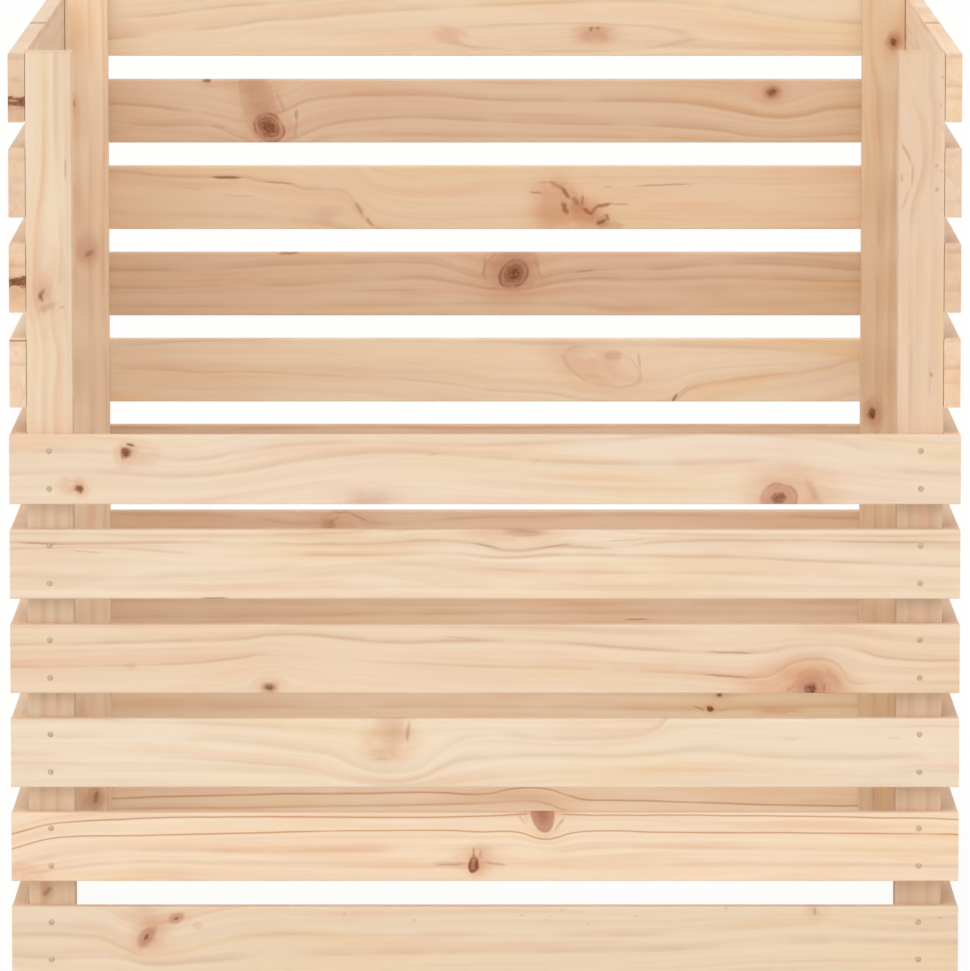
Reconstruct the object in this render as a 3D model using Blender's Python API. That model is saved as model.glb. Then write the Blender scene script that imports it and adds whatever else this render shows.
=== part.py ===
"""A square compost bin of planed pine slats nailed to four corner posts.

The side and back walls have slats on every level, with an air gap between the levels. The front has slats
on its lower levels only, so that the bin is filled and emptied over them. There is no floor and no lid.
Units are metres. The front faces -Y, and the origin is on the ground at the middle of the bin.
"""

import math

import bmesh
import bpy
from mathutils import Matrix, Vector

# Outside of the bin, across the slats
WIDTH = 0.800
DEPTH = 0.800

# Slats
SLAT_HEIGHT = 0.058
SLAT_THICKNESS = 0.014
SLAT_GAP = 0.0222
LEVELS = 10
FRONT_LEVELS = 6

# Posts
POST_SIDE = 0.0385

# Planed timber: the radius of the eased long edges
ARRIS = 0.0008
ARRIS_SEGMENTS = 2

# Nails: two at each slat end, each head in a shallow round seat
NAIL_SEAT_DIAMETER = 0.0046
NAIL_SEAT_FLARE = 0.0004
NAIL_SEAT_DEPTH = 0.0006
NAIL_SEAT_SIDES = 10
NAIL_FROM_SLAT_EDGE = 0.013

# Clearance between pieces that are nailed together
SEAT_GAP = 0.0003

# What follows from the sizes above
PITCH = SLAT_HEIGHT + SLAT_GAP
HEIGHT = LEVELS * SLAT_HEIGHT + (LEVELS - 1) * SLAT_GAP
WALL = SLAT_THICKNESS + SEAT_GAP
SIDE_SLAT_LENGTH = DEPTH - 2 * WALL
POST_CENTRE_X = WIDTH / 2 - WALL - POST_SIDE / 2
POST_CENTRE_Y = DEPTH / 2 - WALL - POST_SIDE / 2

# Colours of the raw pine in sRGB, from 0 to 1
FRONT_PINE = (0.93, 0.82, 0.70)
BACK_PINE = (0.90, 0.77, 0.63)
SIDE_PINE = (0.92, 0.79, 0.65)
POST_PINE = (0.91, 0.79, 0.67)
PINE_ROUGHNESS = 0.62


def clear_scene():
    for obj in list(bpy.data.objects):
        bpy.data.objects.remove(obj, do_unlink=True)


def linear(channel):
    """The scene-linear value of an sRGB channel."""
    if channel <= 0.04045:
        return channel / 12.92
    return ((channel + 0.055) / 1.055) ** 2.4


def pine(name, colour):
    """Raw planed pine of one shade."""
    material = bpy.data.materials.new(name)
    material.use_nodes = True
    shader = material.node_tree.nodes["Principled BSDF"]
    rgba = [linear(channel) for channel in colour] + [1.0]
    shader.inputs["Base Color"].default_value = rgba
    shader.inputs["Roughness"].default_value = PINE_ROUGHNESS
    shader.inputs["Metallic"].default_value = 0.0
    material.diffuse_color = rgba
    return material


def planed_timber(name, size, long_axis):
    """A timber standing on Z = 0, centred in X, its face at Y = 0, with its edges along one axis eased."""
    centre = Vector((0, size[1] / 2, size[2] / 2))
    timber = bmesh.new()
    bmesh.ops.create_cube(timber, size=1, matrix=Matrix.Translation(centre) @ Matrix.Diagonal((*size, 1)))
    long_edges = [
        edge
        for edge in timber.edges
        if abs(edge.verts[0].co[long_axis] - edge.verts[1].co[long_axis]) > size[long_axis] / 2
    ]
    bmesh.ops.bevel(
        timber, geom=long_edges, offset=ARRIS, segments=ARRIS_SEGMENTS, profile=0.5, affect="EDGES"
    )
    mesh = bpy.data.meshes.new(name)
    timber.to_mesh(mesh)
    timber.free()
    return mesh


def nail_seats(name, nail_x):
    """Flared round cutters across the face Y = 0, two near each end of a slat."""
    seats = bmesh.new()
    along_y = Matrix.Rotation(math.radians(-90), 4, "X")
    for x in (-nail_x, nail_x):
        for z in (NAIL_FROM_SLAT_EDGE, SLAT_HEIGHT - NAIL_FROM_SLAT_EDGE):
            bmesh.ops.create_cone(
                seats,
                cap_ends=True,
                segments=NAIL_SEAT_SIDES,
                radius1=NAIL_SEAT_DIAMETER / 2 + NAIL_SEAT_FLARE,
                radius2=NAIL_SEAT_DIAMETER / 2,
                depth=2 * NAIL_SEAT_DEPTH,
                matrix=Matrix.Translation((x, 0, z)) @ along_y,
            )
    mesh = bpy.data.meshes.new(name)
    seats.to_mesh(mesh)
    seats.free()
    return mesh


def cut(mesh, cutter_mesh):
    """The first mesh with the second one cut out of it, as a new mesh."""
    blank = place(mesh.name, mesh)
    cutter = place(cutter_mesh.name, cutter_mesh)
    cutter.hide_render = True
    cutter.display_type = "WIRE"
    boolean = blank.modifiers.new("seats", "BOOLEAN")
    boolean.operation = "DIFFERENCE"
    boolean.solver = "EXACT"
    boolean.object = cutter
    evaluated = blank.evaluated_get(bpy.context.evaluated_depsgraph_get())
    result = bpy.data.meshes.new_from_object(evaluated)
    for helper in (blank, cutter):
        bpy.data.objects.remove(helper, do_unlink=True)
    return result


def slat_mesh(name, length, nail_x):
    """A slat lying along X with its outer face at Y = 0 and a seat for each nail head in that face."""
    blank = planed_timber(name + "_blank", (length, SLAT_THICKNESS, SLAT_HEIGHT), 0)
    mesh = cut(blank, nail_seats(name + "_seats", nail_x))
    mesh.name = name
    return mesh


def place(name, mesh, parent=None, location=(0, 0, 0)):
    obj = bpy.data.objects.new(name, mesh)
    bpy.context.scene.collection.objects.link(obj)
    obj.parent = parent
    obj.location = location
    return obj


def wall(side, mesh, material, levels, turn, reach):
    """One wall: a slat on each level, on an empty that is turned to face outwards and moved out by reach."""
    frame = place(side + "_wall", None)
    frame.rotation_euler.z = math.radians(turn)
    frame.location = Matrix.Rotation(math.radians(turn), 3, "Z") @ Vector((0, -reach, 0))
    mesh.materials.clear()
    mesh.materials.append(material)
    for level in range(levels):
        place(f"{side}_slat_{level + 1:02d}", mesh, frame, (0, 0, level * PITCH))


def posts(material):
    """A post in each corner, the full height of the walls."""
    mesh = planed_timber("post", (POST_SIDE, POST_SIDE, HEIGHT), 2)
    mesh.materials.append(material)
    for depth_word, y in (("front", -POST_CENTRE_Y), ("back", POST_CENTRE_Y)):
        for side, x in (("left", -POST_CENTRE_X), ("right", POST_CENTRE_X)):
            place(f"post_{depth_word}_{side}", mesh, None, (x, y - POST_SIDE / 2, 0))


def compost_bin():
    clear_scene()
    posts(pine("post_pine", POST_PINE))
    front_slat = slat_mesh("front_slat", WIDTH, POST_CENTRE_X)
    back_slat = front_slat.copy()
    side_slat = slat_mesh("side_slat", SIDE_SLAT_LENGTH, POST_CENTRE_Y)
    side_pine = pine("side_pine", SIDE_PINE)
    wall("front", front_slat, pine("front_pine", FRONT_PINE), FRONT_LEVELS, 0, DEPTH / 2)
    wall("right", side_slat, side_pine, LEVELS, 90, WIDTH / 2)
    wall("back", back_slat, pine("back_pine", BACK_PINE), LEVELS, 180, DEPTH / 2)
    wall("left", side_slat, side_pine, LEVELS, 270, WIDTH / 2)


compost_bin()
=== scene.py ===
"""The looks of the slatted compost bin: raw pine with its grain and knots, nails, floor, light and camera.

Every timber is a CAD node that keeps its shape and gets a pine material of its own. The nails are made here.
Lengths in a pine material are millimetres, measured on the timber: "along" it from the middle of the bin
(from the ground on a post), "up" from its lower edge (from its left edge on a post) and "depth" through it.
"""

import math
import random
from typing import NamedTuple

import bmesh
import bpy
from mathutils import Matrix, Vector


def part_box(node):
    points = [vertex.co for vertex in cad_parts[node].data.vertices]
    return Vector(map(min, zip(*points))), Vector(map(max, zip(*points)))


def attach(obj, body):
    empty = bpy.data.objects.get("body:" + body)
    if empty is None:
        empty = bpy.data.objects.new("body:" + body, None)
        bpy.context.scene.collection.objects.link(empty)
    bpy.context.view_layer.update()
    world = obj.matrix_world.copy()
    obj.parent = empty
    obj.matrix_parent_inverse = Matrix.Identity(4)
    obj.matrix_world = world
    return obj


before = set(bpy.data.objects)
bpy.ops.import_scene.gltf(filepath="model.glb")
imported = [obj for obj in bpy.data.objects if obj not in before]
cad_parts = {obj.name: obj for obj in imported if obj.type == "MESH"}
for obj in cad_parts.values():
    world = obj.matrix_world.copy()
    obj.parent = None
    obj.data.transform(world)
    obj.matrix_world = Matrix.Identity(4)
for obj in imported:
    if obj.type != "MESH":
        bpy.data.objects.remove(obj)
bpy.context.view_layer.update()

# The camera looks at the front from above, from far away
CAMERA_PLACE = (0.0, -8.012, 1.3297)
CAMERA_PITCH = math.radians(6.838)
CAMERA_LENS = 338.08
CAMERA_SENSOR = 36.0
CAMERA_REACH = 100.0

# Light. A key light of strength 1 gives a white surface facing it a brightness of 1
WORLD_EVEN = 0.50
WORLD_FROM_SIDES = 0.90
KEY_STRENGTH = 0.46
KEY_SPREAD = math.radians(70)
KEY_HEIGHT = math.radians(54)
KEY_TURN = math.radians(-12)
FLOOR_SIZE = 60.0
FLOOR_GREY = 0.86
FLOOR_WHITE = (1.0, 1.0, 0.99, 1.0)
FLOOR_SHARE_OF_WHITE = 0.94

# Sizes of the timbers, read from the CAD, in metres
SLAT_LOW, SLAT_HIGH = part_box("front_slat_01")
SLAT_HEIGHT = SLAT_HIGH.z - SLAT_LOW.z
POST_LOW, POST_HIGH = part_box("post_front_left")
POST_CENTRE_X = abs(POST_LOW.x + POST_HIGH.x) / 2
POST_CENTRE_Y = abs(POST_LOW.y + POST_HIGH.y) / 2

# Nails, in metres
NAIL_FROM_SLAT_EDGE = 0.013
NAIL_HEAD_DIAMETER = 0.0043
NAIL_HEAD_BELOW_FACE = 0.00008
NAIL_HEAD_THICKNESS = 0.00045
NAIL_SHANK_DIAMETER = 0.0022
NAIL_LENGTH = 0.040
NAIL_POINT = 0.0045
NAIL_SIDES = 20
NAIL_STAIN = 0.0015
NAIL_METALLIC = 0.7
NAIL_ROUGHNESS = (0.42, 0.62)

MM = 1000.0

# Sizes in the timber that no line or knot gives, in millimetres
GRAIN_WANDER = 2.4
RING_SPACINGS = (4.5, 7.0)
HEART_DEPTHS = (18.0, 70.0)
RELIEF_LENGTH = 30.0
RELIEF_WIDTH = 0.9
RELIEF_STRENGTH = 0.35
RELIEF_HEIGHT = 0.25
WOOD_ROUGHNESS = (0.52, 0.72)
WOOD_SPECULAR = 0.15
RING_STRENGTH = 0.24
RINGS_IN_KNOT = 2.6
# Noise in the wood: its length, its width, how far the seed shifts it, its detail and its roughness
WOOD_NOISES = (
    (170.0, 16.0, 1.0, 3.0, 0.5),
    (240.0, 24.0, 1.7, 2.0, 0.5),
    (420.0, 6.0, 2.3, 2.0, 0.5),
    (120.0, 2.4, 3.1, 2.0, 0.5),
    (30.0, 0.8, 4.3, 3.0, 0.6),
)


def srgb(red, green, blue):
    """A scene-linear colour from sRGB channels between 0 and 255."""
    channels = [value / 255 for value in (red, green, blue)]
    linear = [c / 12.92 if c <= 0.04045 else ((c + 0.055) / 1.055) ** 2.4 for c in channels]
    return (*linear, 1.0)


# What grain, blotches and knots do to the tone under them
BAND_TINT = (0.80, 0.68, 0.59, 1.0)
LINE_TINT = (0.72, 0.54, 0.42, 1.0)
PINK_TINT = (0.99, 0.90, 0.86, 1.0)
HONEY_TINT = (1.0, 0.97, 0.87, 1.0)
END_GRAIN_TINT = (0.96, 0.92, 0.87, 1.0)
HALO_TINT = (0.91, 0.75, 0.67, 1.0)
BODY_TINT = (0.65, 0.43, 0.37, 1.0)
RING_TINT = (0.62, 0.44, 0.34, 1.0)
RIM_TINT = (0.56, 0.38, 0.28, 1.0)
STROKE_TINT = (0.42, 0.26, 0.17, 1.0)
CORE_COLOUR = srgb(122, 72, 46)


class Line(NamedTuple):
    """A grain line: how dark its thin edge and the soft band above it are, and points along and up it."""

    crisp: float
    soft: float
    points: tuple


class Knot(NamedTuple):
    """A knot of one style. Its bend says how far the grain parts round it, in its own half heights."""

    style: str
    along: float
    up: float
    half_length: float
    half_height: float
    tilt: float = 0.0
    bend: float = 0.0


class Mark(NamedTuple):
    """A thin dark stroke, such as a crack or a resin line. Its tilt from the grain is in degrees."""

    dark: float
    along: float
    up: float
    half_length: float
    half_width: float
    tilt: float = 0.0


class Timber(NamedTuple):
    """The look of one timber: its tone in sRGB and what shows on it, with its lines from the lowest up."""

    tone: tuple
    lines: tuple = ()
    knots: tuple = ()
    marks: tuple = ()
    grain: float = 1.0


# Knot styles: ragged outline, pink halo, brown body, where the body starts to fade, rings in it, dark core,
# the core's size, dark rim, and how far the knot hides the grain
KNOT_STYLES = {
    "dead": (0.60, 0.75, 0.60, 0.30, 0.10, 1.0, 0.85, 0.0, 0.8),
    "live": (0.35, 0.60, 0.60, 0.50, 0.20, 0.90, 0.55, 0.10, 0.9),
    "oval": (0.25, 0.45, 0.66, 0.60, 0.12, 0.85, 0.32, 0.12, 0.9),
    "ringed": (0.20, 0.40, 0.50, 0.88, 0.12, 0.90, 0.44, 0.40, 1.0),
    "cracked": (0.30, 0.45, 0.26, 0.60, 0.08, 0.95, 0.40, 0.10, 1.0),
    "eye": (0.20, 0.40, 0.50, 0.80, 0.50, 0.95, 0.66, 0.75, 1.0),
    "shield": (0.12, 0.30, 0.95, 0.88, 0.12, 0.45, 0.60, 0.45, 1.0),
    "drop": (0.30, 0.60, 0.80, 0.80, 0.0, 0.35, 0.90, 1.0, 1.0),
    "torn": (1.40, 0.40, 0.45, 0.30, 0.0, 1.0, 0.90, 0.0, 0.8),
    "body": (0.22, 0.15, 0.28, 0.85, 0.0, 0.0, 0.1, 0.28, 0.85),
    "patch": (0.35, 0.40, 0.20, 0.45, 0.0, 0.0, 0.1, 0.0, 0.6),
    "tan": (0.30, 0.15, 0.40, 0.55, 0.0, 0.0, 0.1, 0.12, 0.6),
    "pale": (0.24, 0.10, 0.04, 0.85, 0.0, 0.0, 0.1, 0.20, 0.6),
    "tongue": (0.25, 0.10, 0.07, 0.60, 0.0, 0.0, 0.1, 0.22, 0.3),
    "speck": (0.60, 0.40, 0.50, 0.50, 0.0, 0.80, 1.0, 0.0, 0.5),
    "smudge": (0.50, 0.50, 0.22, 0.05, 0.0, 0.0, 0.1, 0.0, 0.3),
    "blush": (0.40, 0.72, 0.0, 0.50, 0.0, 0.0, 0.1, 0.0, 0.2),
    "shade": (0.50, 0.0, 0.16, 0.05, 0.0, 0.0, 0.1, 0.0, 0.0),
}


class Net:
    """Adds nodes to one node tree. A value given to a node is a number, a tuple or another node's output."""

    def __init__(self, tree):
        self.tree = tree

    def add(self, kind, values=None, **settings):
        node = self.tree.nodes.new(kind)
        for name, setting in settings.items():
            setattr(node, name, setting)
        for key, value in (values or {}).items():
            self.feed(node.inputs[key], value)
        return node

    def feed(self, socket, value):
        if isinstance(value, bpy.types.NodeSocket):
            self.tree.links.new(value, socket)
        else:
            socket.default_value = value

    def math(self, operation, first, second=0.0, third=0.0):
        values = {0: first, 1: second, 2: third}
        return self.add("ShaderNodeMath", values, operation=operation).outputs[0]

    def plus(self, first, second):
        return self.math("ADD", first, second)

    def minus(self, first, second):
        return self.math("SUBTRACT", first, second)

    def times(self, first, second):
        return self.math("MULTIPLY", first, second)

    def over(self, first, second):
        return self.math("DIVIDE", first, second)

    def smooth(self, value, start, end):
        """0 where the value is at start and 1 where it is at end, smooth between them."""
        values = {"Value": value, "From Min": start, "From Max": end}
        return self.add("ShaderNodeMapRange", values, interpolation_type="SMOOTHSTEP").outputs["Result"]

    def vector(self, x, y, z):
        return self.add("ShaderNodeCombineXYZ", {0: x, 1: y, 2: z}).outputs[0]

    def split(self, vector):
        return self.add("ShaderNodeSeparateXYZ", {0: vector}).outputs

    def noise(self, x, y, z, detail=2.0, roughness=0.5):
        """Smooth noise from 0 to 1, with one bump or so for each whole step of x, y and z."""
        values = {"Vector": self.vector(x, y, z), "Scale": 1.0, "Detail": detail, "Roughness": roughness}
        return self.add("ShaderNodeTexNoise", values).outputs["Fac"]

    def three_noises(self, x, y, z, detail):
        """Three noises that have nothing to do with each other, each from 0 to 1."""
        values = {"Vector": self.vector(x, y, z), "Scale": 1.0, "Detail": detail}
        return self.split(self.add("ShaderNodeTexNoise", values).outputs["Color"])

    def mix(self, share, first, second, blend="MIX"):
        node = self.add("ShaderNodeMix", data_type="RGBA", blend_type=blend)
        for index, value in ((0, share), (6, first), (7, second)):
            self.feed(node.inputs[index], value)
        return node.outputs[2]

    def tint(self, share, colour, factor):
        """The colour multiplied by the factor, as far as share says."""
        return self.mix(share, colour, factor, "MULTIPLY")

    def radius(self, x, y):
        return self.math("SQRT", self.plus(self.times(x, x), self.times(y, y)))

    def show(self, shader, kind="ShaderNodeOutputMaterial"):
        self.feed(self.add(kind).inputs["Surface"], shader)

    def gloss(self, colour, roughness, normal, name, value):
        """Shows a surface of this colour, roughness and relief, with one more of its values set by name."""
        values = {"Base Color": colour, "Roughness": roughness, "Normal": normal, name: value}
        self.show(self.add("ShaderNodeBsdfPrincipled", values).outputs[0])

    def call(self, tree, values):
        """The outputs of a node group that is given these values in the order of its inputs."""
        node = self.tree.nodes.new("ShaderNodeGroup")
        node.node_tree = tree
        for socket, value in zip(node.inputs, values):
            self.feed(socket, value)
        return list(node.outputs)


def bare_net(owner):
    """What adds nodes to a material or world, which then has none yet."""
    owner.use_nodes = True
    owner.node_tree.nodes.clear()
    return Net(owner.node_tree)


def add_object(name, data):
    thing = bpy.data.objects.new(name, data)
    bpy.context.scene.collection.objects.link(thing)
    return thing


def group(name, inputs, outputs, build):
    """A node group with the named inputs and outputs. Names that end in Colour are colours."""
    tree = bpy.data.node_groups.new(name, "ShaderNodeTree")
    for names, way in ((inputs, "INPUT"), (outputs, "OUTPUT")):
        for socket in names:
            kind = "NodeSocketColor" if socket.endswith("Colour") else "NodeSocketFloat"
            tree.interface.new_socket(name=socket, in_out=way, socket_type=kind)
    net = Net(tree)
    results = build(net, tree.nodes.new("NodeGroupInput").outputs)
    last = tree.nodes.new("NodeGroupOutput")
    for socket, result in zip(outputs, results):
        net.feed(last.inputs[socket], result)
    return tree


def part_round_knot(net, given):
    """Grain parts round a knot as water parts round a pile."""
    across = net.over(net.minus(given["Along"], given["Knot Along"]), given["Stretch"])
    rise = net.minus(given["Up"], given["Knot Up"])
    square = net.plus(net.times(across, across), net.times(rise, rise))
    reach = net.times(given["Reach"], given["Reach"])
    share = net.over(reach, net.math("MAXIMUM", square, reach))
    return [net.minus(given["Up"], net.times(rise, net.times(share, 0.85)))]


PARTING = group(
    "grain_parts_round_knot",
    ("Along", "Up", "Knot Along", "Knot Up", "Reach", "Stretch"),
    ("Up",),
    part_round_knot,
)


def turned(net, given, kind):
    """How far a point lies from the middle of a knot or mark, along its length and across it."""
    x = net.minus(given["Along"], given[kind + " Along"])
    y = net.minus(given["Up"], given[kind + " Up"])
    cosine = net.math("COSINE", given["Tilt"])
    sine = net.math("SINE", given["Tilt"])
    far = net.plus(net.times(x, cosine), net.times(y, sine))
    return far, net.minus(net.times(y, cosine), net.times(x, sine))


def hide_in_knot(net, given):
    """The share of the grain that shows: all of it outside a knot, less inside."""
    far, off = turned(net, given, "Knot")
    long_way = net.over(far, given["Half Length"])
    short_way = net.over(off, given["Half Height"])
    shown = net.smooth(net.radius(long_way, short_way), 1.15, 0.8)
    return [net.minus(1.0, net.times(shown, given["Hides"]))]


KNOT_PLACE = ("Knot Along", "Knot Up", "Half Length", "Half Height", "Tilt")
HIDING = group(
    "knot_hides_grain",
    ("Along", "Up", *KNOT_PLACE, "Hides"),
    ("Share",),
    hide_in_knot,
)


def grow_rings(net, given):
    """Growth rings about the log's heart: pale wood that darkens to a thin line, then starts again."""
    seed = given["Seed"]
    side = net.minus(given["Flow"], given["Heart Up"])
    inward = net.plus(given["Depth"], given["Heart Depth"])
    radius = net.radius(side, inward)
    layer = net.plus(net.over(given["Depth"], 18.0), seed)
    wobble = net.noise(net.over(given["Along"], 120.0), net.over(given["Flow"], 18.0), layer)
    uneven = net.noise(net.over(radius, 19.0), seed, 0.0, detail=1.0)
    count = net.over(radius, given["Spacing"])
    count = net.plus(count, net.plus(net.times(wobble, 0.8), net.times(uneven, 2.2)))
    part = net.math("FRACT", count)
    late = net.math("POWER", net.smooth(part, 0.1, 0.9), 1.8)
    late = net.times(late, net.smooth(part, 1.0, 0.9))
    number = net.plus(net.math("FLOOR", count), seed)
    strength = net.add("ShaderNodeTexWhiteNoise", {"W": number}, noise_dimensions="1D").outputs["Value"]
    fade = net.smooth(net.noise(net.over(given["Along"], 150.0), number, seed, detail=1.0), 0.3, 0.62)
    return [net.times(net.times(late, net.plus(0.2, net.times(strength, 0.8))), fade)]


RINGS = group(
    "growth_rings",
    ("Along", "Flow", "Depth", "Heart Up", "Heart Depth", "Spacing", "Seed"),
    ("Dark",),
    grow_rings,
)


def make_wood(net, given):
    """Pine of one tone with its grain lines, soft bands, pink and honey blotches, fibres and end grain."""
    seed, grain = given["Seed"], given["Grain"]
    along, flow, depth = given["Along"], given["Flow"], given["Depth"]

    def grain_noise(length, width, shift, detail, roughness):
        layer = net.plus(net.over(depth, width), net.times(seed, shift))
        return net.noise(net.over(along, length), net.over(flow, width), layer, detail, roughness)

    pink, honey, band, streak, fibre = [grain_noise(*sizes) for sizes in WOOD_NOISES]
    colour = net.tint(net.smooth(pink, 0.45, 0.72), given["Tone Colour"], PINK_TINT)
    colour = net.tint(net.smooth(honey, 0.45, 0.75), colour, HONEY_TINT)
    wide = net.times(net.smooth(band, 0.38, 0.72), 0.18)
    soft = net.plus(wide, net.times(net.smooth(streak, 0.42, 0.78), 0.09))
    soft = net.plus(given["Soft"], net.times(soft, grain))
    colour = net.tint(net.math("MINIMUM", soft, 1.0), colour, BAND_TINT)
    crisp = net.plus(given["Crisp"], net.times(net.smooth(fibre, 0.4, 0.8), net.times(grain, 0.05)))
    colour = net.tint(net.math("MINIMUM", crisp, 1.0), colour, LINE_TINT)
    pore = net.noise(net.over(along, 0.9), net.over(given["Up"], 0.45), net.over(depth, 0.45), 2.0)
    end = given["End"]
    colour = net.tint(end, colour, END_GRAIN_TINT)
    colour = net.tint(net.times(end, net.smooth(pore, 0.4, 0.7)), colour, END_GRAIN_TINT)
    return [colour]


WOOD = group(
    "pine_wood",
    ("Tone Colour", "Crisp", "Soft", "Grain", "Along", "Up", "Flow", "Depth", "End", "Seed"),
    ("Colour",),
    make_wood,
)


def paint_knot(net, given):
    """One knot: a pink halo, a red-brown body with its own rings, a dark ragged core and a thin rim."""
    far, off = turned(net, given, "Knot")
    long_way = net.over(far, given["Half Length"])
    short_way = net.over(off, given["Half Height"])
    shift = net.plus(given["Seed"], net.over(given["Depth"], 8.0))
    push = net.three_noises(net.times(long_way, 0.8), net.times(short_way, 0.8), shift, 2.0)
    push_size = net.times(given["Ragged"], 1.7)
    long_way = net.plus(long_way, net.times(net.minus(push[0], 0.5), push_size))
    short_way = net.plus(short_way, net.times(net.minus(push[1], 0.5), push_size))
    fine = net.noise(net.times(long_way, 2.6), net.times(short_way, 2.6), net.plus(shift, 5.0), 2.0, 0.6)
    bulge = net.plus(1.0, net.times(net.minus(fine, 0.5), net.times(given["Ragged"], 0.4)))
    radius = net.times(net.radius(long_way, short_way), bulge)
    halo = net.times(net.smooth(radius, 2.4, 0.7), net.times(given["Halo"], net.smooth(push[2], 0.15, 0.55)))
    body = net.times(net.smooth(radius, 1.15, given["Edge"]), given["Body"])
    turn = net.plus(net.times(radius, RINGS_IN_KNOT), net.times(fine, 1.2))
    wave = net.math("SINE", net.times(turn, math.tau))
    inside = net.times(net.smooth(radius, 1.05, 0.85), given["Rings"])
    rings = net.times(net.smooth(wave, -0.2, 1.0), inside)
    core_share = net.over(radius, given["Core Size"])
    crack = net.smooth(net.math("ABSOLUTE", net.minus(fine, 0.5)), 0.13, 0.02)
    fleck = net.plus(0.58, net.times(crack, 0.42))
    core = net.times(net.smooth(core_share, 1.25, 0.35), net.times(given["Core"], fleck))
    rim_width = net.math("MINIMUM", net.over(1.8, given["Half Height"]), 0.20)
    rim = net.smooth(net.math("ABSOLUTE", net.minus(radius, 1.0)), rim_width, 0.0)
    rim = net.times(rim, net.times(given["Rim"], net.smooth(push[2], 0.36, 0.60)))
    colour = net.tint(halo, given["Colour"], HALO_TINT)
    colour = net.tint(body, colour, BODY_TINT)
    colour = net.tint(rings, colour, RING_TINT)
    colour = net.mix(core, colour, CORE_COLOUR)
    return [net.tint(rim, colour, RIM_TINT)]


KNOT = group(
    "pine_knot",
    (
        *("Colour", "Along", "Up", "Depth", "Seed", *KNOT_PLACE),
        *("Ragged", "Halo", "Body", "Edge", "Rings", "Core", "Core Size", "Rim"),
    ),
    ("Colour",),
    paint_knot,
)


def paint_mark(net, given):
    """One thin dark stroke that wanders a little and tapers to its ends."""
    far, off = turned(net, given, "Mark")
    wander = net.noise(net.over(far, 9.0), given["Mark Up"], given["Mark Along"], 2.0)
    off = net.plus(off, net.times(net.minus(wander, 0.5), net.times(given["Half Width"], 2.0)))
    taper = net.smooth(net.over(net.math("ABSOLUTE", far), given["Half Length"]), 1.0, 0.3)
    width = net.times(given["Half Width"], net.plus(taper, 0.15))
    share = net.smooth(net.over(net.math("ABSOLUTE", off), width), 1.3, 0.1)
    share = net.times(net.times(share, taper), given["Dark"])
    return [net.tint(share, given["Colour"], STROKE_TINT)]


MARK = group(
    "dark_mark",
    ("Colour", "Along", "Up", "Mark Along", "Mark Up", "Half Length", "Half Width", "Tilt", "Dark"),
    ("Colour",),
    paint_mark,
)

# A grain line's curve covers one slat height below the slat and one above it
CURVE_LOW = -58.0
CURVE_SPAN = 174.0


def line_height(net, along, line, start, length):
    """The height of a grain line at each place along the timber."""
    node = net.add("ShaderNodeFloatCurve", {"Value": net.over(net.minus(along, start), length)})
    curve = node.mapping.curves[0]
    places = [((a - start) / length, (up - CURVE_LOW) / CURVE_SPAN) for a, up in line.points]
    curve.points[0].location = (0.0, places[0][1])
    curve.points[-1].location = (1.0, places[-1][1])
    for place in places:
        if 0.004 < place[0] < 0.996:
            curve.points.new(*place)
    node.mapping.update()
    return net.plus(net.times(node.outputs[0], CURVE_SPAN), CURVE_LOW)


def line_shares(net, along, above, line, start, length, seed):
    """How dark a grain line's thin edge and the soft band above it make the wood here. Both are uneven."""
    below = net.smooth(above, line.crisp - 2.0, 0.1)
    edge = net.times(below, net.smooth(above, 3.6 - 2.0 * line.crisp, 0.3))
    band = net.times(net.smooth(above, -3.0, 1.2), net.smooth(above, 9.0, 1.2))
    uneven = net.noise(net.over(along, 80.0), seed, line.points[0][1] / 10, 2.0)
    steady = net.smooth(uneven, 0.34 - 0.22 * line.crisp, 0.60 - 0.12 * line.crisp)
    crisp = net.times(edge, net.times(steady, line.crisp))
    soft = net.times(band, net.times(net.smooth(uneven, 0.26, 0.60), line.soft))
    first, last = line.points[0][0], line.points[-1][0]
    ends = []
    if first > start + 1:
        ends.append((first - 15, first + 15))
    if last < start + length - 1:
        ends.append((last + 15, last - 15))
    for none, full in ends:
        fade = net.smooth(along, none, full)
        crisp, soft = net.times(crisp, fade), net.times(soft, fade)
    return crisp, soft


def grain_field(net, along, up, lines, start, length, seed):
    """How dark the grain lines are here, crisp and soft, and a height that is level along each line."""
    heights = [line_height(net, along, line, start, length) for line in lines]
    levels = [sum(up for _, up in line.points) / len(line.points) for line in lines]
    flow = net.plus(levels[0], net.math("MINIMUM", net.minus(up, heights[0]), 0.0))
    for index in range(len(lines) - 1):
        gap = net.math("MAXIMUM", net.minus(heights[index + 1], heights[index]), 1.0)
        share = net.over(net.minus(up, heights[index]), gap)
        share = net.math("MAXIMUM", net.math("MINIMUM", share, 1.0), 0.0)
        flow = net.plus(flow, net.times(share, levels[index + 1] - levels[index]))
    flow = net.plus(flow, net.math("MAXIMUM", net.minus(up, heights[-1]), 0.0))
    all_crisp, all_soft = 0.0, 0.0
    for line, height in zip(lines, heights):
        crisp, soft = line_shares(net, along, net.minus(up, height), line, start, length, seed)
        all_crisp = net.math("MAXIMUM", all_crisp, crisp)
        all_soft = net.math("MAXIMUM", all_soft, soft)
    return all_crisp, all_soft, flow


def spot(piece):
    """Where a knot or mark lies, in the order in which the node groups take it."""
    return *piece[1:5], math.radians(piece.tilt)


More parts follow.
